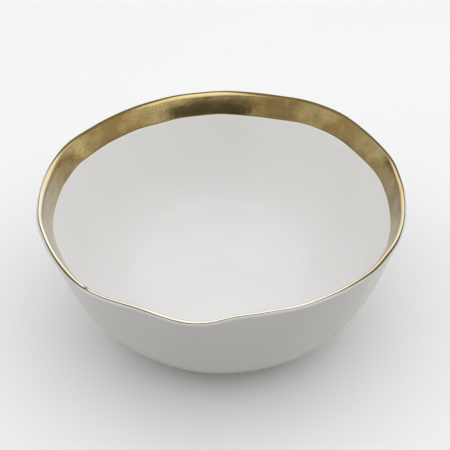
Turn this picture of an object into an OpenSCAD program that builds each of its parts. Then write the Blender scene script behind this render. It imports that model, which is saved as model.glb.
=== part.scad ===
// Hand-formed porcelain serving bowl with a gilded rim, on a low foot ring.
// Millimetres, +Z up. The origin is the middle of the foot, where it meets the table.
// The clay, each glaze coat and each coat of gold are separate solids that meet face to face.

/* [Bowl] */
// Diameter over the rim, before the wobble
rim_diameter = 280; // [240:2:320]
// Height of the rim above the table, before the wobble
bowl_height = 115; // [100:1:130]
// Share of the rim's hand-made wobble (0 is a true, level circle)
wobble = 1; // [0:0.1:1.2]

/* [Wall] */
// Thickness of the rounded lip
lip_thickness = 4.5; // [3:0.5:8]
// Thickness of the wall well below the lip
wall_thickness = 8.5; // [6:0.5:10]
// Depth over which the wall fills out from the lip
taper_depth = 28; // [15:1:50]
// Rise of the outside where it leaves the foot, in degrees
base_slope = 10.5; // [5:0.5:20]
// Length of the tangent that pulls the low curve outward
base_pull = 66; // [50:1:75]
// Lean of the wall at the rim, in degrees from upright
rim_lean = 25; // [15:1:35]
// Length of the tangent that pulls the wall down from the rim
rim_pull = 33; // [20:1:45]
// Fall of the floor from the edge of the foot to the middle
floor_drop = 1.5; // [1:0.5:2.5]

/* [Foot] */
// Outer diameter of the foot ring
foot_diameter = 112; // [96:2:124]
// Height of the foot ring, and depth of the hollow inside it
foot_height = 5; // [4:0.5:8]
// Width of the foot ring where it joins the base
foot_width = 9; // [6:0.5:12]
// Bevel along both edges of the face that stands on the table
foot_bevel = 1; // [0.5:0.25:1.5]
// Inward lean of each side of the foot ring, from base to bevel
foot_taper = 0.75; // [0:0.25:1.5]

/* [Glaze and gold] */
// Thickness of each glaze coat
glaze = 0.3; // [0.2:0.1:0.6]
// Thickness of the gold
gold = 0.15; // [0.1:0.05:0.3]
// Depth of the gold inside the bowl, below the top of the rim
band_depth = 15.5; // [8:0.5:24]
// Where the gold ends outside: direction on the round lip, in degrees above level
gold_wrap = 45; // [20:5:70]
// Unglazed margin around the foot, as a share of the outside curve
bare_margin = 0.02; // [0.01:0.01:0.05]
// Unglazed margin between the foot ring and the glaze inside it
well_margin = 0.5; // [0.25:0.25:2]

/* [Hidden] */

// Facets around the bowl
SEGMENTS = 60;
// Rings along the wall below the gold band, and across the band
WALL_RINGS = 9;
BAND_RINGS = 3;
// Rings on the lip: outside the gold, gold to crest, crest to the inner wall
LIP_RINGS = [2, 2, 3];
// Rings on the floor, as shares of its radius
FLOOR_RINGS = [0.85, 0.6, 0.3];
// How the wobble fades from the rim to the foot, outward and upward
OUT_FADE = 1.5;
UP_FADE = 2;
// Halvings in the search for the band's lower edge
SEARCH_STEPS = 24;
FOOT_FACETS = 96;

// The rim as the hand left it: direction, distance outward, distance upward
RIM = [
    [0, -2.5, 0],
    [25, 0.5, -1.5],
    [50, 1.5, 2],
    [75, 1, -0.5],
    [100, 0.5, -1],
    [125, -2, -0.5],
    [150, 0.5, -1],
    [175, -0.5, 1],
    [200, 2, 1],
    [214, 1.5, -2],
    [225, 1, -5.5],
    [238, 1, -1.5],
    [247, 1, 0.5],
    [259, 1, -2.5],
    [266, 0.5, -1.5],
    [276, -1, 3.5],
    [294, -0.5, 3],
    [314, -2, 1],
    [336, -1, 1]
];

rim_r = rim_diameter / 2;
foot_r = foot_diameter / 2;
lip_r = lip_thickness / 2;
lip_centre = [rim_r - lip_r, bowl_height - lip_r];
crest = 90;

// The outside curve is one cubic, from the foot to the start of the lip.
foot_edge = [foot_r, foot_height];
lip_start = lip_centre + lip_r * [cos(rim_lean), -sin(rim_lean)];
CURVE = [
    foot_edge,
    foot_edge + base_pull * [cos(base_slope), sin(base_slope)],
    lip_start - rim_pull * [sin(rim_lean), cos(rim_lean)],
    lip_start
];

function outside(t) =
    let (s = 1 - t)
    s * s * s * CURVE[0] + 3 * s * s * t * CURVE[1] + 3 * s * t * t * CURVE[2] + t * t * t * CURVE[3];

function direction(t) =
    let (s = 1 - t)
    let (d = s * s * (CURVE[1] - CURVE[0]) + 2 * s * t * (CURVE[2] - CURVE[1]) + t * t * (CURVE[3] - CURVE[2]))
    d / norm(d);

// Unit vector from the outside of the wall to its inside
function across(t) = let (d = direction(t)) [-d[1], d[0]];

function thickness(t) =
    wall_thickness - (wall_thickness - lip_thickness) * exp((outside(t)[1] - lip_start[1]) / taper_depth);

function inside(t) = outside(t) + thickness(t) * across(t);

// Share of the curve at which the inside reaches height z
function share_at(z, low = 0, high = 1, steps = SEARCH_STEPS) =
    let (mid = (low + high) / 2)
    steps == 0 ? mid
    : inside(mid)[1] < z ? share_at(z, mid, high, steps - 1)
    : share_at(z, low, mid, steps - 1);

// The floor runs level in the middle and meets the wall at the wall's own slope.
floor_edge = inside(0);
floor_z = floor_edge[1] - floor_drop;
floor_power = tan(base_slope) * floor_edge[0] / floor_drop;
function floor_at(share) = [share * floor_edge[0], floor_z + floor_drop * pow(share, floor_power)];
function floor_normal(share) =
    let (slope = tan(base_slope) * pow(share, floor_power - 1))
    [-slope, 1] / norm([slope, 1]);

// Even steps from a to b, leaving out a
function steps(a, b, count) = [for (i = [1:count]) a + (b - a) * i / count];
function reversed(list) = [for (i = [len(list) - 1:-1:0]) list[i]];

// The whole section as [point, outward normal], from the foot, over the lip, to the floor's middle
band_share = share_at(bowl_height - band_depth);
WALL = concat(
    [0, bare_margin],
    steps(bare_margin, band_share, WALL_RINGS),
    steps(band_share, 1, BAND_RINGS)
);
LIP = concat(
    steps(-rim_lean, gold_wrap, LIP_RINGS[0]),
    steps(gold_wrap, crest, LIP_RINGS[1]),
    steps(crest, 180 - rim_lean, LIP_RINGS[2])
);
SECTION = concat(
    [for (t = WALL) [outside(t), -across(t)]],
    [for (a = LIP) [lip_centre + lip_r * [cos(a), sin(a)], [cos(a), sin(a)]]],
    [for (i = [len(WALL) - 2:-1:0]) [inside(WALL[i]), across(WALL[i])]],
    [for (s = FLOOR_RINGS) [floor_at(s), floor_normal(s)]]
);

// Places along the section where coats begin and end
WALL_END = len(WALL) - 1;
GOLD_EDGE = WALL_END + LIP_RINGS[0];
SEAM = GOLD_EDGE + LIP_RINGS[1];
BAND_TOP = SEAM + LIP_RINGS[2];
BAND_FOOT = BAND_TOP + BAND_RINGS;
SECTION_END = len(SECTION) - 1;

// Smooth closed curve through the rim's stations; column 1 is outward, 2 is upward
function station(i) =
    let (n = len(RIM), k = (i + n) % n, turn = 360 * floor(i / n))
    [RIM[k][0] + turn, RIM[k][1], RIM[k][2]];

function stray(angle, column) =
    let (i = max([for (k = [0:len(RIM) - 1]) if (RIM[k][0] <= angle) k]))
    let (before = station(i - 1), a = station(i), b = station(i + 1), after = station(i + 2))
    let (span = b[0] - a[0], t = (angle - a[0]) / span)
    let (rise_a = span * (b[column] - before[column]) / (b[0] - before[0]))
    let (rise_b = span * (after[column] - a[column]) / (after[0] - a[0]))
    wobble * (
        (2 * pow(t, 3) - 3 * pow(t, 2) + 1) * a[column]
        + (pow(t, 3) - 2 * pow(t, 2) + t) * rise_a
        + (3 * pow(t, 2) - 2 * pow(t, 3)) * b[column]
        + (pow(t, 3) - pow(t, 2)) * rise_b
    );

ANGLES = [for (j = [0:SEGMENTS - 1]) 360 * j / SEGMENTS];
OUTWARD = [for (a = ANGLES) stray(a, 1)];
UPWARD = [for (a = ANGLES) stray(a, 2)];

// A ring of the skin is [place along the section, depth of coat over the clay].
function ring_points(ring) =
    let (p = SECTION[ring[0]][0] + ring[1] * SECTION[ring[0]][1])
    let (rise = (p[1] - foot_height) / (lip_centre[1] - foot_height))
    let (share = min(1, max(0, rise)))
    [for (j = [0:SEGMENTS - 1])
        let (r = p[0] * (1 + pow(share, OUT_FADE) * OUTWARD[j] / rim_r))
        [r * cos(ANGLES[j]), r * sin(ANGLES[j]), p[1] + pow(share, UP_FADE) * UPWARD[j]]
    ];

// Both solids at a shared face split its quads the same way.
function is_ahead(a, b) = b[0] > a[0] || (b[0] == a[0] && b[1] > a[1]);

function strip(a, b, ahead) = [
    for (j = [0:SEGMENTS - 1])
        let (k = (j + 1) % SEGMENTS)
        let (p = a * SEGMENTS + j, q = a * SEGMENTS + k, r = b * SEGMENTS + k, s = b * SEGMENTS + j)
        for (face = ahead ? [[p, r, q], [p, s, r]] : [[p, s, q], [q, s, r]])
            face
];

function flatten(lists) = [for (l = lists) for (x = l) x];
function rings(from, to, coat) = [for (i = [from:to]) [i, coat]];

// A coat around the bowl: out along its face and back along what it lies on
module coat(from, to, under, thick) {
    loop = concat(rings(from, to, under + thick), reversed(rings(from, to, under)));
    count = len(loop);
    polyhedron(
        points = flatten([for (ring = loop) ring_points(ring)]),
        faces = flatten([
            for (k = [0:count - 1])
                strip(k, (k + 1) % count, is_ahead(loop[k], loop[(k + 1) % count]))
        ])
    );
}

// A solid that closes on the axis at both ends of its path
module closed_path(path, first_z, last_z) {
    count = len(path);
    first = count * SEGMENTS;
    last = first + 1;
    end = (count - 1) * SEGMENTS;
    polyhedron(
        points = concat(
            flatten([for (ring = path) ring_points(ring)]),
            [[0, 0, first_z], [0, 0, last_z]]
        ),
        faces = concat(
            flatten([for (k = [0:count - 2]) strip(k, k + 1, is_ahead(path[k], path[k + 1]))]),
            [for (j = [0:SEGMENTS - 1]) [first, j, (j + 1) % SEGMENTS]],
            [for (j = [0:SEGMENTS - 1]) [last, end + (j + 1) % SEGMENTS, end + j]]
        )
    );
}

module porcelain_body() {
    color("#ece9e3")
        closed_path(rings(0, SECTION_END, 0), foot_height, floor_z);
}

module foot_ring() {
    inner = foot_r - foot_width;
    color("#d9cfc0")
        rotate_extrude($fn = FOOT_FACETS)
            polygon([
                [inner, foot_height],
                [inner + foot_taper, foot_bevel],
                [inner + foot_taper + foot_bevel, 0],
                [foot_r - foot_taper - foot_bevel, 0],
                [foot_r - foot_taper, foot_bevel],
                [foot_r, foot_height]
            ]);
}

module interior_glaze() {
    face = rings(SEAM, SECTION_END, glaze);
    backing = reversed(rings(SEAM, SECTION_END, 0));
    color("#dddcda")
        closed_path(concat(backing, face), floor_z, floor_z + glaze);
}

module exterior_glaze() {
    color("#c9c7c3")
        coat(1, SEAM, 0, glaze);
}

module foot_well_glaze() {
    color("#d5d3cf")
        translate([0, 0, foot_height - glaze])
            cylinder(h = glaze, r = foot_r - foot_width - well_margin, $fn = FOOT_FACETS);
}

module gold_band() {
    color("#9a8755")
        coat(BAND_TOP, BAND_FOOT, glaze, gold);
}

module gold_lip() {
    color("#d3b878")
        coat(GOLD_EDGE, BAND_TOP, glaze, gold);
}

porcelain_body();
foot_ring();
interior_glaze();
exterior_glaze();
foot_well_glaze();
gold_band();
gold_lip();
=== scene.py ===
"""Hand-formed porcelain serving bowl with a gilded rim: the looks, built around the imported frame.

Metres, +Z up. The bowl's axis is Z and its foot stands at z = 0, as in the frame. Directions round
the bowl are in degrees from +X towards +Y, so the viewer's side is at 270.
"""
import math

import bpy
import numpy as np
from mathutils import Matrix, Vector


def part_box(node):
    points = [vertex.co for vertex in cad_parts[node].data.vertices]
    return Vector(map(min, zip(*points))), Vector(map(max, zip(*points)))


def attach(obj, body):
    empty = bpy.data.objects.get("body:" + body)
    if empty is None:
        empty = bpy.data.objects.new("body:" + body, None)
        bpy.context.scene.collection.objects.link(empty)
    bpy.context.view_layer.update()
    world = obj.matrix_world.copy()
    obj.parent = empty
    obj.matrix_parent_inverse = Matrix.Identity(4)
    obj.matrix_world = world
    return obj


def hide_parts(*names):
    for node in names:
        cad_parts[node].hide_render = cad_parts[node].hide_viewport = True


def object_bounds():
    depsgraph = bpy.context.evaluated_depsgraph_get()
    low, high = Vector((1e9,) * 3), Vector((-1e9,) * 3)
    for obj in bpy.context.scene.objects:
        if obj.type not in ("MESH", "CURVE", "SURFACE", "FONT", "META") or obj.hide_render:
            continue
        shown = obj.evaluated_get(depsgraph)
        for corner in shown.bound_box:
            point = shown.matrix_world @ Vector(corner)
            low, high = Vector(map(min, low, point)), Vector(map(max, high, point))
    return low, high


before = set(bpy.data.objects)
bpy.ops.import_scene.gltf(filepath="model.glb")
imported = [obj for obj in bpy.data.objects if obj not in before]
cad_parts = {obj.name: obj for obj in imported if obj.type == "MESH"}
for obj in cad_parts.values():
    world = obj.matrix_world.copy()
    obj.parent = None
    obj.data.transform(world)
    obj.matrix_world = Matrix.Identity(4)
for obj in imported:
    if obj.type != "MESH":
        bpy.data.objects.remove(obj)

cad_low, cad_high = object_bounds()
scene = bpy.context.scene
MM = 0.001

# ---------------------------------------------------------------- sizes
foot_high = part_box("foot_ring")[1]
well_low, well_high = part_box("foot_well_glaze")

FOOT_R = foot_high.x
FOOT_H = foot_high.z
FOOT_W = 9 * MM
FOOT_BEVEL = 1 * MM
FOOT_TAPER = 0.75 * MM
WELL_R = well_high.x
GLAZE = well_high.z - well_low.z
GOLD = 0.15 * MM
THIN_EDGE = 0.12        # share of its thickness that a coat keeps at a rolled edge

RIM_R = 140 * MM
BOWL_H = 115 * MM
LIP = 4.5 * MM
WALL = 8.5 * MM
TAPER_DEPTH = 31 * MM
TAPER_POWER = 1.2
BASE_SLOPE = math.radians(10.5)
BASE_PULL = 66 * MM
RIM_LEAN = math.radians(25)
RIM_PULL = 33 * MM
FLOOR_DROP = 1.5 * MM
BAND_DEPTH = 15.5 * MM
BAND_ROLL_R = 30 * MM
BARE_MARGIN = 3.7 * MM

# The rim as the hand left it: direction in degrees, mm outward, mm upward
RIM = [
    (0, -2.5, 0), (25, 0.5, -1.5), (50, 1.5, 2), (75, 1, -0.5), (100, 0.5, -1),
    (125, -2, -0.5), (150, 0.5, -1), (175, -0.5, 1), (200, 2, 1), (214, 1.5, -2),
    (225, 1, -5.5), (238, 1, -1.5), (247, 1, 0.5), (259, 1, -2.5), (266, 0.5, -1.5),
    (276, -1, 3.5), (294, -0.5, 3), (314, -2, 1), (336, -1, 1),
]
OUT_FADE, UP_FADE = 1.5, 2.0

# The lip by direction: degrees round, thickness in mm, radius outside in mm, degrees above level
# where the inside radius takes over, degrees of slow roll into the band, degrees above level where
# the gold starts, mm of thin brown gold there, which in places runs over the crest as painted shade,
# and how far the crest is painted pale as a highlight.
LIPS = [
    (0, 4.6, 2.0, 90, 4, 54, 0.8, 0.1), (12, 4.2, 1.8, 91, 5, 42, 2.0, 0),
    (30, 3.2, 1.3, 95, 6, 34, 3.2, 0), (60, 3.2, 1.3, 95, 8, 32, 4.3, 0),
    (76, 3.4, 1.2, 92, 6, 40, 3.6, 0), (92, 4.1, 1.2, 92, 6, 40, 2.6, 0),
    (108, 4.8, 1.2, 92, 13, 40, 3.0, 0), (130, 3.2, 1.3, 95, 8, 32, 4.3, 0),
    (150, 3.4, 1.4, 92, 6, 36, 3.0, 0), (168, 5.4, 2.2, 88, 5, 60, 0.8, 0.25),
    (183, 4.6, 2.2, 88, 4, 64, 0.7, 0.7), (200, 4.5, 2.2, 88, 4, 60, 0.9, 0.9),
    (217, 4.0, 2.0, 90, 4, 38, 1.7, 0.8), (228, 3.8, 1.9, 90, 4, 52, 0.7, 1),
    (240, 3.8, 1.9, 90, 4, 50, 0.8, 1), (270, 3.8, 1.9, 90, 4, 54, 0.5, 0.9),
    (300, 3.8, 1.9, 90, 4, 54, 0.5, 1), (328, 4.0, 2.0, 90, 4, 36, 1.9, 0.4),
    (345, 4.2, 2.0, 90, 4, 54, 0.9, 0.5),
]
# One nick in the lip's gold: direction and half width in degrees, and how bare it is worn
NICK_AT, NICK_W, NICK_WEAR = 225, 0.6, 1.5

# The satin gold by direction: degrees round, tone from deep 0 to light 1, share paled to grey. Both
# are painted reflection: the tone lightens and darkens the band for the surroundings it reflects, the
# grey stands in for the white inside reflected at the left.
REFLECTION_TONES = [
    (0, 0.25, 0.1), (30, 0.35, 0.1), (45, 0.1, 0), (57, 0.8, 0), (70, 0, 0),
    (85, 0.4, 0), (102, 0.8, 0), (114, 0.9, 0), (122, 0.25, 0), (130, -0.1, 0),
    (139, 0.3, 0), (146, 0.9, 0), (154, 0.85, 0), (166, 0.9, 0.2), (180, 0.9, 0.9),
    (200, 0.8, 0.8), (230, 0.6, 0.3), (270, 0.5, 0), (310, 0.6, 0.1), (340, 0.4, 0.2),
]

# Steps in the meshes: directions round the bowl, places along a section, and points on its curves
SEGMENTS = 320
PLACES = 1400
WALL_STEPS, LIP_STEPS, LIP_INNER_STEPS, FLOOR_STEPS = 500, 60, 120, 120
SMOOTHING = 3           # neighbours each side that a place is smoothed over
LIP_GAP = 0.4 * MM      # left between the lip's end and the inside wall, for the smoothing to close
ANGLES = np.arange(SEGMENTS) * 2 * math.pi / SEGMENTS


# ---------------------------------------------------------------- curves round the bowl
def around(stations, column):
    """A smooth closed curve through (degrees, value, ...) stations, at every direction."""
    table = np.array(stations, float)
    at = np.concatenate([table[-2:, 0] - 360, table[:, 0], table[:3, 0] + 360])
    value = np.concatenate([table[-2:, column], table[:, column], table[:3, column]])
    slope = np.zeros_like(value)
    slope[1:-1] = (value[2:] - value[:-2]) / (at[2:] - at[:-2])
    direction = np.degrees(ANGLES)
    i = np.searchsorted(at, direction, side="right") - 1
    span = at[i + 1] - at[i]
    t = (direction - at[i]) / span
    return (
        (2 * t**3 - 3 * t**2 + 1) * value[i] + (t**3 - 2 * t**2 + t) * span * slope[i]
        + (3 * t**2 - 2 * t**3) * value[i + 1] + (t**3 - t**2) * span * slope[i + 1]
    )


def ripples(*waves):
    """The sum of waves round the bowl in mm. Each is its height, times round and phase."""
    return sum(height * np.sin(count * ANGLES + phase) for height, count, phase in waves) * MM


def fade(distance, width):
    """1 where the distance is 0 or less, falling evenly to 0 at the width."""
    return np.clip(1 - distance / width, 0, 1)


OUTWARD = around(RIM, 1) * MM
UPWARD = around(RIM, 2) * MM
LIP_THICK = around(LIPS, 1) * MM
LIP_R = around(LIPS, 2) * MM
LIP_TURN = np.radians(around(LIPS, 3))
LIP_ROLL = np.radians(around(LIPS, 4))
GOLD_START = np.radians(around(LIPS, 5))
GOLD_THIN_AND_SHADE_W = around(LIPS, 6) * MM
GOLD_CREST_HIGHLIGHT = around(LIPS, 7)
GOLD_REFLECTION_TONE = around(REFLECTION_TONES, 1)
GOLD_INSIDE_REFLECTION = around(REFLECTION_TONES, 2)

# Wobble of the painted and glazed edges, as the brush and sponge leave them
BRUSH = ripples((0.35, 5, 1.0), (0.25, 9, 2.4), (0.12, 23, 0))
SPONGE = ripples((0.5, 4, 0.4), (0.3, 9, 1.7), (0.15, 21, 0.8))


# ---------------------------------------------------------------- the section
def towards(angle):
    """Unit vectors in the section, as (outward, upward), at an angle above level."""
    return np.stack([np.cos(angle), np.sin(angle)], -1)


RIM_UP = np.array([math.sin(RIM_LEAN), math.cos(RIM_LEAN)])     # up along the wall at the rim


def lip_curve(thick, r1, turn, roll):
    """The lip from its foot outside to its foot inside, with its crest at the bowl's height.

    r1 is its radius outside. From the direction turn on a larger radius r2 brings it inside, and it
    stops short of the wall's lean by the angle roll.
    """
    swing = math.cos(turn + RIM_LEAN)
    r2 = (thick - r1 + r1 * swing) / (swing + math.cos(roll))
    c1 = np.array([RIM_R - r1, 0])
    c2 = c1 - (r2 - r1) * towards(turn)
    lip = np.concatenate([
        c1 + r1 * towards(np.linspace(-RIM_LEAN, turn, LIP_STEPS)),
        c2 + r2 * towards(np.linspace(turn, math.pi - RIM_LEAN - roll, LIP_INNER_STEPS)[1:]),
    ])
    lip[:, 1] += BOWL_H - lip[:, 1].max()
    return lip


def outside_wall(top):
    """The outside wall from the foot to the lip, and the unit vectors that cross it inward."""
    p0 = np.array([FOOT_R, FOOT_H])
    p1 = p0 + BASE_PULL * towards(BASE_SLOPE)
    p2 = top - RIM_PULL * RIM_UP
    t = np.linspace(0, 1, WALL_STEPS)[:, None]
    wall = (1 - t)**3 * p0 + 3 * (1 - t)**2 * t * p1 + 3 * (1 - t) * t**2 * p2 + t**3 * top
    run = (1 - t)**2 * (p1 - p0) + 2 * (1 - t) * t * (p2 - p1) + t**2 * (top - p2)
    run /= np.linalg.norm(run, axis=1)[:, None]
    return wall, np.stack([-run[:, 1], run[:, 0]], 1)


def inside_wall(outside, inward, lip, lip_thick, relief, roll):
    """The inside wall, upward. It fills out below the lip and starts with the slow roll's relief."""
    under = (lip[0, 1] - outside[:, 1]) / math.cos(RIM_LEAN) - (lip[0] - lip[-1]) @ RIM_UP
    thick = WALL - (WALL - lip_thick) * np.exp(-(np.maximum(under, 0) / TAPER_DEPTH)**TAPER_POWER)
    thick -= relief * fade(under, BAND_ROLL_R * math.sin(roll))**2
    inside = outside + thick[:, None] * inward
    return inside[(lip[-1] - inside) @ RIM_UP > LIP_GAP]


def floor_curve(edge):
    """The inside floor from the wall to the axis, a shallow dish that leaves at the wall's slope."""
    power = math.tan(BASE_SLOPE) * edge[0] / FLOOR_DROP
    share = np.linspace(1, 0, FLOOR_STEPS)[1:]
    return np.stack([share * edge[0], edge[1] - FLOOR_DROP + FLOOR_DROP * share**power], 1)


def smoothed(points):
    """The same points, each averaged with its neighbours. The two ends stay."""
    window = np.hanning(2 * SMOOTHING + 3)[1:-1]
    window /= window.sum()
    smooth = points.copy()
    smooth[SMOOTHING:-SMOOTHING] = np.stack(
        [np.convolve(points[:, i], window, "valid") for i in (0, 1)], 1)
    return smooth


def build_section(lip_thick, lip_r, turn, roll):
    """One section: even points along it, normals out of the clay, their places, and its marks.

    It runs up the outside wall, over the lip, down the inside wall and across the floor. The marks
    are the places where each stretch starts, and the band's lower edge.
    """
    relief = BAND_ROLL_R * (1 - math.cos(roll))
    lip = lip_curve(lip_thick - relief, lip_r, turn, roll)
    outside, inward = outside_wall(lip[0])
    inside = inside_wall(outside, inward, lip, lip_thick, relief, roll)
    path = np.concatenate([outside[:-1], lip, inside[::-1], floor_curve(inside[0])])

    steps = np.linalg.norm(np.diff(path, axis=0), axis=1)
    length = np.concatenate([[0], np.cumsum(steps)])
    places = np.linspace(0, length[-1], PLACES)
    points = smoothed(np.stack([np.interp(places, length, path[:, i]) for i in (0, 1)], 1))
    ahead = np.gradient(points, axis=0)
    normals = np.stack([ahead[:, 1], -ahead[:, 0]], 1)
    normals /= np.linalg.norm(normals, axis=1)[:, None]

    lip_at = len(outside) - 1
    lip_end_at = lip_at + len(lip) - 1
    marks = {
        "lip": length[lip_at],
        "crest": places[np.argmax(points[:, 1])],
        "lip_end": length[lip_end_at],
        "floor": length[lip_end_at + len(inside)],
        "end": places[-1],
    }
    inner = (places > marks["lip_end"]) & (places < marks["floor"])
    marks["band_foot"] = np.interp(BAND_DEPTH - BOWL_H, -points[inner, 1], places[inner])
    return points, normals, places, marks


SECTIONS = [build_section(*lip) for lip in zip(LIP_THICK, LIP_R, LIP_TURN, LIP_ROLL)]
MARK = {mark: np.array([section[3][mark] for section in SECTIONS]) for mark in SECTIONS[0][3]}
FLOOR_Z = SECTIONS[0][0][-1, 1]


def undulation(share, height):
    """Slow swells that fingers leave in a hand-pressed wall, outward, fading towards the foot."""
    swell = ripples(
        (0.25, 7, 0.6), (0.25, 11, 2.1 + 12 * height),
        (0.16, 17, 4.0 - 25 * height), (0.10, 25, 1.3 + 40 * height))
    return swell * share**0.7


def surface(s, coat):
    """Points at distance s along the section, coat metres above the clay, for rings x segments."""
    p, n = np.empty(s.shape + (2,)), np.empty(s.shape + (2,))
    for j, (points, normals, places, _) in enumerate(SECTIONS):
        for i in (0, 1):
            p[:, j, i] = np.interp(s[:, j], places, points[:, i])
            n[:, j, i] = np.interp(s[:, j], places, normals[:, i])
    n /= np.linalg.norm(n, axis=-1)[..., None]
    p = p + n * np.broadcast_to(coat, s.shape)[..., None]
    share = np.clip((p[..., 1] - FOOT_H) / (BOWL_H - LIP / 2 - FOOT_H), 0, 1)
    r = p[..., 0] * (1 + share**OUT_FADE * OUTWARD / RIM_R) + undulation(share, p[..., 1])
    z = p[..., 1] + share**UP_FADE * UPWARD
    return np.stack([r * np.cos(ANGLES), r * np.sin(ANGLES), z], -1)


# ---------------------------------------------------------------- meshes
def make_piece(name, verts, faces, replaces, marks=None, creases=()):
    """A smooth-shaded mesh piece. marks are values per vertex; creases are rings kept sharp."""
    mesh = bpy.data.meshes.new(name)
    mesh.from_pydata(verts.tolist(), [], faces)
    mesh.polygons.foreach_set("use_smooth", np.ones(len(mesh.polygons), bool))
    if creases:
        ends = np.empty(2 * len(mesh.edges), int)
        mesh.edges.foreach_get("vertices", ends)
        ring = ends.reshape(-1, 2) // SEGMENTS
        sharp = (ring[:, 0] == ring[:, 1]) & np.isin(ring[:, 0], creases)
        mesh.edges.foreach_set("use_edge_sharp", sharp)
    for mark, values in (marks or {}).items():
        layer = mesh.attributes.new(mark, "FLOAT", "POINT")
        layer.data.foreach_set("value", np.asarray(values, np.float32).ravel())
    piece = bpy.data.objects.new(name, mesh)
    scene.collection.objects.link(piece)
    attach(piece, "root")
    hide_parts(replaces)
    return piece


def grid_faces(rings, closed):
    """Quads between neighbouring rings; closed joins the last ring to the first."""
    faces = []
    for k in range(rings if closed else rings - 1):
        a, b = k * SEGMENTS, (k + 1) % rings * SEGMENTS
        for j in range(SEGMENTS):
            i = (j + 1) % SEGMENTS
            faces.append((a + j, a + i, b + i, b + j))
    return faces


def spread(start, end, step):
    """Even places from start to end, about a step apart. Either end may vary round the bowl."""
    start = np.broadcast_to(start, (SEGMENTS,))
    end = np.broadcast_to(end, (SEGMENTS,))
    count = max(2, int(round(np.max(end - start) / step)) + 1)
    t = np.linspace(0, 1, count)[:, None]
    return start + t * (end - start)


def rolled(s, under, thick, rolls):
    """Height of a coat over the clay, rolling down at its two ends over the widths in rolls."""
    height = np.ones_like(s)
    for edge, width in zip((s[0], s[-1]), rolls):
        if width:
            slope = np.sqrt(1 - fade(np.abs(s - edge), width)**2)
            height = np.minimum(height, THIN_EDGE + (1 - THIN_EDGE) * slope)
    return under + thick * height


def ring_coat(name, s, under, thick, rolls, slot, replaces, **marks):
    """A closed coat around the bowl over the places s, with rolled edges. marks are given over s."""
    count = len(s)
    face = surface(s, rolled(s, under, thick, rolls))
    back = surface(s, under)[::-1]
    verts = np.concatenate([face, back]).reshape(-1, 3)
    marks = {mark: np.concatenate([value, value[::-1]]) for mark, value in marks.items()}
    return make_piece(name, verts, grid_faces(2 * count, True), replaces, marks,
                      (0, count - 1, count, 2 * count - 1))


def closed_path(name, rings, first, last, slot, replaces, **marks):
    """A solid whose rings close on the axis at both ends, at the heights first and last."""
    count = len(rings)
    verts = np.concatenate([rings.reshape(-1, 3), [(0, 0, first), (0, 0, last)]])
    top = (count - 1) * SEGMENTS
    first_pole = count * SEGMENTS
    last_pole = first_pole + 1
    faces = grid_faces(count, False)
    faces += [(first_pole, (j + 1) % SEGMENTS, j) for j in range(SEGMENTS)]
    faces += [(last_pole, top + j, top + (j + 1) % SEGMENTS) for j in range(SEGMENTS)]
    marks = {mark: np.append(value.ravel(), (0, 0)) for mark, value in marks.items()}
    return make_piece(name, verts, faces, replaces, marks)


def turned(profile):
    """Rings through each (radius, height) of a profile."""
    r, z = profile[:, :1], profile[:, 1:]
    return np.stack([r * np.cos(ANGLES), r * np.sin(ANGLES), np.repeat(z, SEGMENTS, 1)], -1)


# ---------------------------------------------------------------- pieces
FLOOR_PLACES = spread(MARK["floor"], MARK["end"], 4 * MM)[1:-1]
BAND_FOOT = MARK["band_foot"] + BRUSH
GOLD_EDGE = MARK["lip"] + LIP_R * (GOLD_START + RIM_LEAN) + 0.4 * BRUSH


def clay_body():
    """The clay shell, hidden but for the margin round the foot."""
    section = np.concatenate([spread(0, MARK["floor"], 2.5 * MM), FLOOR_PLACES])
    return closed_path("clay_body", surface(section, 0), FOOT_H, FLOOR_Z,
                       "fired_clay", "porcelain_body")


def liner_glaze():
    """The liner: over the crest, down the wall and across the floor, then back on the clay.

    A pale painted highlight runs along it just under the band.
    """
    section = np.concatenate([
        spread(MARK["crest"], BAND_FOOT - 1 * MM, 1.5 * MM),
        spread(BAND_FOOT - 0.75 * MM, BAND_FOOT + 2 * MM, 0.25 * MM),
        spread(BAND_FOOT + 3 * MM, MARK["floor"], 1.5 * MM),
        FLOOR_PLACES,
    ])
    face = surface(section, GLAZE)
    back = surface(section, 0)[::-1]
    band_foot_highlight = fade(np.abs(section - BAND_FOOT - 0.4 * MM), 0.6 * MM)
    return closed_path("liner_glaze", np.concatenate([back, face]), FLOOR_Z, FLOOR_Z + GLAZE,
                       "liner_glaze", "interior_glaze", thin=np.concatenate([0 * band_foot_highlight, band_foot_highlight]))


def outer_glaze():
    """The outer coat, from the bare margin at the foot to the crest, with a paler painted highlight as
    it reaches the lip.
    """
    s = np.concatenate([
        spread(BARE_MARGIN + SPONGE, MARK["lip"] - 2 * MM, 1.5 * MM),
        spread(MARK["lip"] - 1.5 * MM, MARK["crest"], 0.5 * MM),
    ])
    # painted highlight: the glaze is made paler over the last millimetres below the lip
    lip_highlight = np.clip((s - MARK["lip"] - 0.6 * MM) / (1.2 * MM), 0, 1)
    return ring_coat("outer_glaze", s, 0, GLAZE, (1.2 * MM, 0), "outer_glaze", "exterior_glaze",
                     thin=lip_highlight)


def film_marks(s):
    """The satin film's tone by direction, painted lighter or darker as reflection and shade, and how
    far it is painted paler grey as a reflection of the white inside, over the places s.
    """
    return {"reflection_tone": np.broadcast_to(GOLD_REFLECTION_TONE, s.shape), "inside_reflection": np.broadcast_to(GOLD_INSIDE_REFLECTION, s.shape)}


def gold_band():
    """The satin band, thin at its lower edge, and darkened as painted shade at the left and right
    where it meets the lip.
    """
    s = spread(MARK["lip_end"], BAND_FOOT, 0.8 * MM)
    # painted shade: a dark line where band and lip meet, strongest at the left and right
    seam_shade = np.cos(ANGLES)**2 * fade(s - MARK["lip_end"], 1.2 * MM)
    thin = fade(BAND_FOOT - s - 0.3 * MM, 0.6 * MM) + seam_shade
    return ring_coat("gold_band", s, GLAZE, GOLD, (0, 0.15 * MM), "satin_gold", "gold_band",
                     thin=thin, **film_marks(s))


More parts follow.
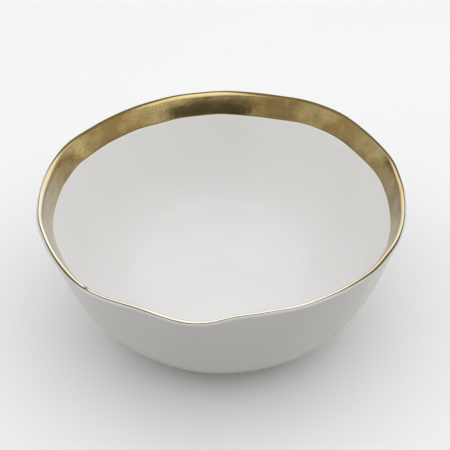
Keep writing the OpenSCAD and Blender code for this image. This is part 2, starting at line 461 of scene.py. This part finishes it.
def gold_lip():
    """The bright gold over the lip: thin and brown where it starts and, in places, over the crest as
    painted shade, painted pale on the crest as a highlight, nicked once, and satin at the band.
    """
    s = spread(GOLD_EDGE, MARK["lip_end"], 0.3 * MM)
    nick = NICK_WEAR * np.exp(-((np.degrees(ANGLES) - NICK_AT) / NICK_W)**2)
    # thin brown gold from the painted edge, wide enough in places to darken the crest as painted
    # shade; the nick is worn bare
    thin = np.clip(np.maximum(3 - 3 * (s - GOLD_EDGE) / GOLD_THIN_AND_SHADE_W, nick), 0, 1)
    satin = fade(MARK["lip_end"] - s, 0.35 * (MARK["lip_end"] - GOLD_EDGE))
    return ring_coat("gold_lip", s, GLAZE, GOLD, (0.3 * MM, 0), "bright_gold", "gold_lip",
                     thin=thin, satin=satin, worn=np.broadcast_to(GOLD_CREST_HIGHLIGHT, s.shape),
                     **film_marks(s))


def foot_ring():
    """The foot ring, tapered down to a flat contact face with rounded edges."""
    inner = FOOT_R - FOOT_W
    half = [
        (0, FOOT_H), (0.5 * FOOT_TAPER, 0.5 * FOOT_H), (FOOT_TAPER, FOOT_BEVEL),
        (FOOT_TAPER + 0.3 * FOOT_BEVEL, 0.3 * FOOT_BEVEL), (FOOT_TAPER + FOOT_BEVEL, 0),
    ]
    profile = np.array([(inner + x, z) for x, z in half] + [(FOOT_R - x, z) for x, z in half[::-1]])
    return make_piece("foot_ring_clay", turned(profile).reshape(-1, 3),
                      grid_faces(len(profile), True), "foot_ring",
                      creases=(0, len(profile) - 1))


def well_glaze():
    """The glaze on the underside, inside the foot ring, thinning to its edge."""
    face_z = FOOT_H - GLAZE
    profile = np.array([
        (0.5 * WELL_R, face_z), (WELL_R - 1.5 * GLAZE, face_z),
        (WELL_R - 0.5 * GLAZE, face_z + 0.3 * GLAZE), (WELL_R, FOOT_H), (0.5 * WELL_R, FOOT_H),
    ])
    return closed_path("well_glaze", turned(profile), face_z, FOOT_H,
                       "outer_glaze", "foot_well_glaze")


# ---------------------------------------------------------------- colours
LINER_LIGHT, LINER_DARK = (0.815, 0.81, 0.80), (0.795, 0.79, 0.78)
# A paler white painted on the liner just under the gold band, as a highlight.
LINER_BAND_HIGHLIGHT = (0.93, 0.91, 0.85)
# The outer glaze is the liner's white glaze. Its darker colours here, used outside and in the foot
# well, are painted shade.
OUTER_SHADED_LIGHT, OUTER_SHADED_DARK = (0.492, 0.481, 0.457), (0.472, 0.46, 0.434)
# A paler white along the top of the outer glaze, a painted highlight under the gold lip.
OUTER_LIP_HIGHLIGHT = (0.68, 0.675, 0.665)
CLAY_LIGHT, CLAY_DARK = (0.77, 0.73, 0.66), (0.70, 0.655, 0.58)
SATIN_DEEP, SATIN_LIGHT = (0.28, 0.19, 0.065), (0.53, 0.41, 0.18)
# A pale grey standing in for the white inside reflected in the band, a painted reflection.
SATIN_INSIDE_REFLECTION = (0.70, 0.63, 0.47)
SATIN_SPECK = (0.20, 0.14, 0.06)
# Brown of thin gold at the band's foot, also used as painted shade at its seam with the lip.
SATIN_THIN_AND_SHADE = (0.31, 0.22, 0.09)
BRIGHT_DEEP, BRIGHT_LIGHT = (0.74, 0.57, 0.27), (0.83, 0.67, 0.34)
# A pale cream on the lip's crest, a painted highlight.
BRIGHT_CREST_HIGHLIGHT = (0.96, 0.92, 0.79)
# Brown of thin gold at the lip's painted edge, also painted shade where it runs over the crest.
BRIGHT_THIN_AND_SHADE = (0.15, 0.11, 0.035)
PAPER_LIGHT, PAPER_DARK = (0.95, 0.95, 0.95), (0.93, 0.93, 0.93)


# ---------------------------------------------------------------- materials
class Shader:
    """A node material built around one Principled shader."""

    def __init__(self, name, **sockets):
        self.material = bpy.data.materials.new(name)
        self.material.use_nodes = True
        self.nodes = self.material.node_tree.nodes
        self.link = self.material.node_tree.links.new
        self.bsdf = next(n for n in self.nodes if n.type == "BSDF_PRINCIPLED")
        for socket, value in sockets.items():
            self.bsdf.inputs[socket.replace("_", " ")].default_value = value
        self.place = self.nodes.new("ShaderNodeTexCoord").outputs["Object"]

    def mark(self, name):
        """A value that the mesh carries at each vertex."""
        node = self.nodes.new("ShaderNodeAttribute")
        node.attribute_name = name
        return node.outputs["Fac"]

    def noise(self, scale, detail=3, roughness=0.5, stretch=None):
        """Noise with about this many features a metre, or with the place stretched first."""
        node = self.nodes.new("ShaderNodeTexNoise")
        node.inputs["Scale"].default_value = scale
        node.inputs["Detail"].default_value = detail
        node.inputs["Roughness"].default_value = roughness
        place = self.place
        if stretch:
            mapping = self.nodes.new("ShaderNodeMapping")
            mapping.inputs["Scale"].default_value = stretch
            self.link(place, mapping.inputs["Vector"])
            place = mapping.outputs["Vector"]
        self.link(place, node.inputs["Vector"])
        return node.outputs["Fac"]

    def ramp(self, value, first, second):
        """A ramp between two stops, each (position, colour or grey)."""
        node = self.nodes.new("ShaderNodeValToRGB")
        for end, (at, colour) in zip(node.color_ramp.elements, (first, second)):
            end.position = at
            end.color = (*colour, 1) if isinstance(colour, tuple) else (colour,) * 3 + (1,)
        self.link(value, node.inputs["Fac"])
        return node.outputs["Color"]

    def mix(self, factor, first, second):
        """first and second are colours or colour outputs."""
        node = self.nodes.new("ShaderNodeMix")
        node.data_type = "RGBA"
        self.link(factor, node.inputs["Factor"])
        for socket, colour in ((node.inputs[6], first), (node.inputs[7], second)):
            if isinstance(colour, tuple):
                socket.default_value = (*colour, 1)
            else:
                self.link(colour, socket)
        return node.outputs[2]

    def sum(self, value, other, share, offset):
        """value + share * other + offset, kept within 0 and 1."""
        node = self.nodes.new("ShaderNodeMath")
        node.operation = "MULTIPLY_ADD"
        self.link(other, node.inputs[0])
        node.inputs[1].default_value = share
        node.inputs[2].default_value = offset
        total = self.nodes.new("ShaderNodeMath")
        total.use_clamp = True
        self.link(value, total.inputs[0])
        self.link(node.outputs[0], total.inputs[1])
        return total.outputs[0]

    def scaled(self, value, low, high, start=0, end=1):
        """value taken from the range start to end into the range low to high."""
        node = self.nodes.new("ShaderNodeMapRange")
        node.inputs["From Min"].default_value = start
        node.inputs["From Max"].default_value = end
        node.inputs["To Min"].default_value = low
        node.inputs["To Max"].default_value = high
        self.link(value, node.inputs["Value"])
        return node.outputs["Result"]

    def bump(self, *layers):
        """layers are (height, distance in metres)."""
        normal = None
        for height, distance in layers:
            node = self.nodes.new("ShaderNodeBump")
            node.inputs["Strength"].default_value = 1
            node.inputs["Distance"].default_value = distance
            self.link(height, node.inputs["Height"])
            if normal is not None:
                self.link(normal, node.inputs["Normal"])
            normal = node.outputs["Normal"]
        self.link(normal, self.bsdf.inputs["Normal"])

    def colour(self, output):
        self.link(output, self.bsdf.inputs["Base Color"])

    def roughness(self, output):
        self.link(output, self.bsdf.inputs["Roughness"])


def glaze_material(name, light, dark, edge, rough):
    """Glassy white glaze: soft clouding, a faint ripple and orange peel, and a paler white painted by
    the gold as a highlight.
    """
    m = Shader(name, IOR=1.5)
    white = m.ramp(m.noise(14), (0.3, dark), (0.7, light))
    # painted highlight: the paler edge colour is mixed in along the gold
    m.colour(m.mix(m.mark("thin"), white, edge))
    m.roughness(m.scaled(m.noise(60), rough - 0.03, rough + 0.04))
    m.bump((m.noise(45, 2), 0.3 * MM), (m.noise(420, 2), 0.02 * MM))
    return m.material


def gold_speck(m):
    """The fine speckle that both golds share."""
    return m.noise(800, 2, 0.6)


def satin_film(m, speck):
    """Deep and light gold clouded together, streaked along the brush and speckled."""
    clouds = m.ramp(m.noise(62), (0.34, 0), (0.66, 1))
    streaks = m.noise(1, 3, 0.6, stretch=(22, 22, 420))
    # painted reflection and shade: the tone mark lightens or darkens the film by direction
    depth = m.sum(m.sum(m.mark("reflection_tone"), clouds, 0.85, -0.43), streaks, 0.5, -0.25)
    film = m.mix(depth, SATIN_DEEP, SATIN_LIGHT)
    # painted reflection: the film is paled to grey where it stands for the white inside
    film = m.mix(m.mark("inside_reflection"), film, SATIN_INSIDE_REFLECTION)
    return m.mix(m.scaled(speck, 0, 0.6, 0.48, 0.75), film, SATIN_SPECK)


def satin_gold(name):
    """The band: a clouded satin film with a fine speckle, browner where it is thin, darker as painted
    shade at its seam with the lip.
    """
    m = Shader(name, Metallic=1.0, Coat_Weight=0.25, Coat_Roughness=0.2)
    speck = gold_speck(m)
    m.colour(m.mix(m.mark("thin"), satin_film(m, speck), SATIN_THIN_AND_SHADE))
    m.roughness(m.scaled(speck, 0.16, 0.24))
    m.bump((m.noise(80, 2), 0.4 * MM), (speck, 0.04 * MM))
    return m.material


def bright_gold(name):
    """The lip: burnished, painted pale on the crest as a highlight, brown at its thin edge and as
    painted shade over the crest in places, satin again where it meets the band.
    """
    m = Shader(name, Metallic=1.0)
    speck = gold_speck(m)
    film = m.ramp(m.noise(38, 3, 0.55), (0.32, BRIGHT_DEEP), (0.66, BRIGHT_LIGHT))
    # painted highlight: the crest is mixed towards pale cream by direction
    film = m.mix(m.mark("worn"), film, BRIGHT_CREST_HIGHLIGHT)
    film = m.mix(m.mark("satin"), film, satin_film(m, speck))
    # thin brown edge, in places painted shade over the crest
    m.colour(m.mix(m.mark("thin"), film, BRIGHT_THIN_AND_SHADE))
    m.roughness(m.scaled(m.mark("satin"), 0.12, 0.24))
    m.bump((m.noise(90, 2), 0.1 * MM), (speck, 0.008 * MM))
    return m.material


def clay_material(name, light, dark):
    """Bare fired clay: matt, faintly mottled, with a sandy grain."""
    m = Shader(name, IOR=1.45)
    m.colour(m.ramp(m.noise(180, 4, 0.6), (0.3, dark), (0.7, light)))
    m.roughness(m.scaled(m.noise(900, 2), 0.65, 0.85))
    m.bump((m.noise(1600, 3), 0.12 * MM), (m.noise(160, 3), 0.2 * MM))
    return m.material


def paper_material(name, light, dark):
    """Matt white paper under the bowl, faintly uneven."""
    m = Shader(name, Roughness=0.9)
    m.colour(m.ramp(m.noise(3, 2), (0.3, dark), (0.7, light)))
    return m.material


# The outer glaze material is darkened as painted shade, on the outside and in the foot well.
outer_shaded_white = glaze_material("outer_glaze", OUTER_SHADED_LIGHT, OUTER_SHADED_DARK, OUTER_LIP_HIGHLIGHT, 0.18)
bare_clay = clay_material("bare_clay", CLAY_LIGHT, CLAY_DARK)
for piece, material in (
    (clay_body(), bare_clay),
    (liner_glaze(), glaze_material("liner_glaze", LINER_LIGHT, LINER_DARK, LINER_BAND_HIGHLIGHT, 0.22)),
    (outer_glaze(), outer_shaded_white),
    (gold_band(), satin_gold("satin_gold")),
    (gold_lip(), bright_gold("bright_gold")),
    (foot_ring(), bare_clay),
    (well_glaze(), outer_shaded_white),
):
    piece.data.materials.append(material)

# ---------------------------------------------------------------- stage
scene.view_settings.view_transform = "Standard"

world = bpy.data.worlds.new("studio")
world.use_nodes = True
world.node_tree.nodes["Background"].inputs["Color"].default_value = (0.97, 0.98, 1.0, 1)
world.node_tree.nodes["Background"].inputs["Strength"].default_value = 0.05
scene.world = world

FLOOR_HALF = 6.0
floor_mesh = bpy.data.meshes.new("floor")
floor_mesh.from_pydata(
    [(FLOOR_HALF * x, FLOOR_HALF * y, 0) for x, y in ((-1, -1), (1, -1), (1, 1), (-1, 1))],
    [], [(0, 1, 2, 3)])
floor_mesh.materials.append(paper_material("floor_paper", PAPER_LIGHT, PAPER_DARK))
floor = bpy.data.objects.new("floor", floor_mesh)
scene.collection.objects.link(floor)

# ---------------------------------------------------------------- lights
PANEL_R = 1.7
PANEL_FOOT, PANEL_TOP, BACK_TOP = 0.02, 2.4, 2.1
FULL_SPREAD = 180
WHITE, COOL, WARM = (1, 1, 1), (0.98, 0.99, 1), (1, 0.975, 0.95)


def softbox(name, place, aim, width, height, radiance, colour=WHITE, cone=FULL_SPREAD):
    """A soft panel. A cone under 180 degrees dims it away from straight ahead."""
    half = math.radians(cone / 2)
    peak = 1 if cone == FULL_SPREAD else math.tan(half) / (math.tan(half) - half)
    light = bpy.data.lights.new(name, "AREA")
    light.shape = "RECTANGLE"
    light.size, light.size_y = width, height
    light.energy = radiance / peak * math.pi * width * height
    light.spread = math.radians(cone)
    light.color = colour
    rig = bpy.data.objects.new(name, light)
    rig.location = place
    rig.rotation_mode = "QUATERNION"
    rig.rotation_quaternion = (Vector(aim) - Vector(place)).to_track_quat("-Z", "Y")
    rig.visible_camera = False
    scene.collection.objects.link(rig)


def wall_panel(name, start, end, low, high, radiance, colour=WHITE):
    """An upright panel facing the bowl between two directions, in degrees right of the viewer."""
    middle, half = math.radians(start + end) / 2, math.radians(end - start) / 2
    place = (PANEL_R * math.sin(middle), -PANEL_R * math.cos(middle), (low + high) / 2)
    width = 2 * PANEL_R * math.tan(half)
    softbox(name, place, (0, 0, place[2]), width, high - low, radiance, colour)


softbox("top", (0, 0, 1.75), (0, 0, 0), 2.9, 2.9, 1.26, COOL, 150)
wall_panel("front_low", 2, 32, PANEL_FOOT, 0.85, 0.10)
wall_panel("front_mid", -18, 41, 0.85, 1.15, 0.30)
wall_panel("front_high", -18, 41, 1.15, PANEL_TOP, 0.72)
wall_panel("left_front", -68, -18, PANEL_FOOT, PANEL_TOP, 0.68, WARM)
wall_panel("left", -118, -68, PANEL_FOOT, PANEL_TOP, 0.86)
wall_panel("right_front", 42, 81, PANEL_FOOT, PANEL_TOP, 0.90, WARM)
wall_panel("right", 81, 123, PANEL_FOOT, PANEL_TOP, 0.92)
wall_panel("right_back", 123, 140, PANEL_FOOT, BACK_TOP, 0.50)
wall_panel("left_back", 220, 242, PANEL_FOOT, BACK_TOP, 0.25)
wall_panel("back_low", 140, 220, PANEL_FOOT, 1.0, 0.60)
wall_panel("back_high", 140, 220, 1.0, BACK_TOP, 1.00)

# ---------------------------------------------------------------- camera
VIEW_ELEVATION = math.radians(40)
VIEW_DISTANCE = 1.4
AIM_RIGHT, AIM_UP = 2.5 * MM, 21.5 * MM
SENSOR, LENS = 36, 144.8

centre = (cad_low + cad_high) / 2
view_up = Vector((0, math.sin(VIEW_ELEVATION), math.cos(VIEW_ELEVATION)))
view_back = Vector((0, -math.cos(VIEW_ELEVATION), math.sin(VIEW_ELEVATION)))
camera = bpy.data.objects.new("camera", bpy.data.cameras.new("camera"))
camera.data.sensor_width = SENSOR
camera.data.lens = LENS
camera.location = centre + VIEW_DISTANCE * view_back
aim = centre + Vector((AIM_RIGHT, 0, 0)) + AIM_UP * view_up
camera.rotation_mode = "QUATERNION"
camera.rotation_quaternion = (aim - camera.location).to_track_quat("-Z", "Y")
scene.collection.objects.link(camera)
scene.camera = camera
